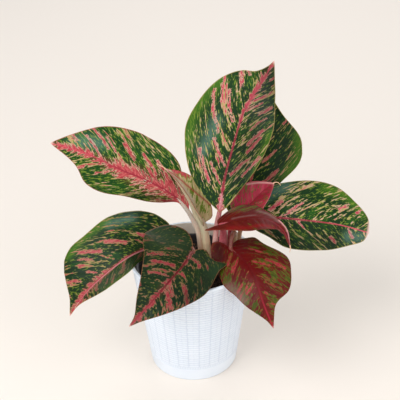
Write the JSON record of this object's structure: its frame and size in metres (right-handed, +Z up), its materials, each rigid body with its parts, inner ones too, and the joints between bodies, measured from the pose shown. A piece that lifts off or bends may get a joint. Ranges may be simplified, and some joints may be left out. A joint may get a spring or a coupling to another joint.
{
  "type": "potted chinese evergreen",
  "caption": "Chinese evergreen with green leaves flecked pink and cream, growing in a nursery pot inside a white woven-look pot.",
  "frame": {"origin": "centre of the pot's flat foot, on the surface it stands on", "axes": "+Z up along the pot's axis, -Y towards the viewer's side of the plant, +X to that viewer's right"},
  "size_m": [0.401, 0.2428, 0.4042],
  "materials": {
    "pot_white": "cool white moulded plastic with a woven relief",
    "nursery_black": "thin black plastic",
    "potting_mix": "coarse dark bark and peat",
    "cane": "ringed tan-green stem",
    "stalk_cream": "smooth cream leaf stalk",
    "stalk_pink": "smooth pink leaf stalk",
    "leaf_green": "semi-gloss green leaf, flecked cream and pink",
    "leaf_red": "semi-gloss deep red leaf with green patches",
    "leaf_young": "semi-gloss young pink leaf",
    "leaf_cream": "half-rolled young cream leaf"
  },
  "bodies": {
    "root": {"pot": "pot_white", "nursery_pot": "nursery_black", "soil": "potting_mix", "cane_left": "cane", "cane_right": "cane", "leaf_left_upper": "leaf_green", "leaf_top": "leaf_green", "leaf_back": "leaf_green", "leaf_right": "leaf_green", "leaf_left_lower": "leaf_green", "leaf_front_left": "leaf_green", "leaf_front_right": "leaf_red", "leaf_small_right": "leaf_red", "leaf_young_pink": "leaf_young", "leaf_young_rolled": "leaf_cream", "stalk_left_upper": "stalk_cream", "stalk_top": "stalk_pink", "stalk_back": "stalk_cream", "stalk_right": "stalk_cream", "stalk_left_lower": "stalk_cream", "stalk_front_left": "stalk_cream", "stalk_front_right": "stalk_pink", "stalk_small_right": "stalk_pink", "stalk_young_pink": "stalk_pink", "stalk_young_rolled": "stalk_cream"}
  },
  "joints": []
}
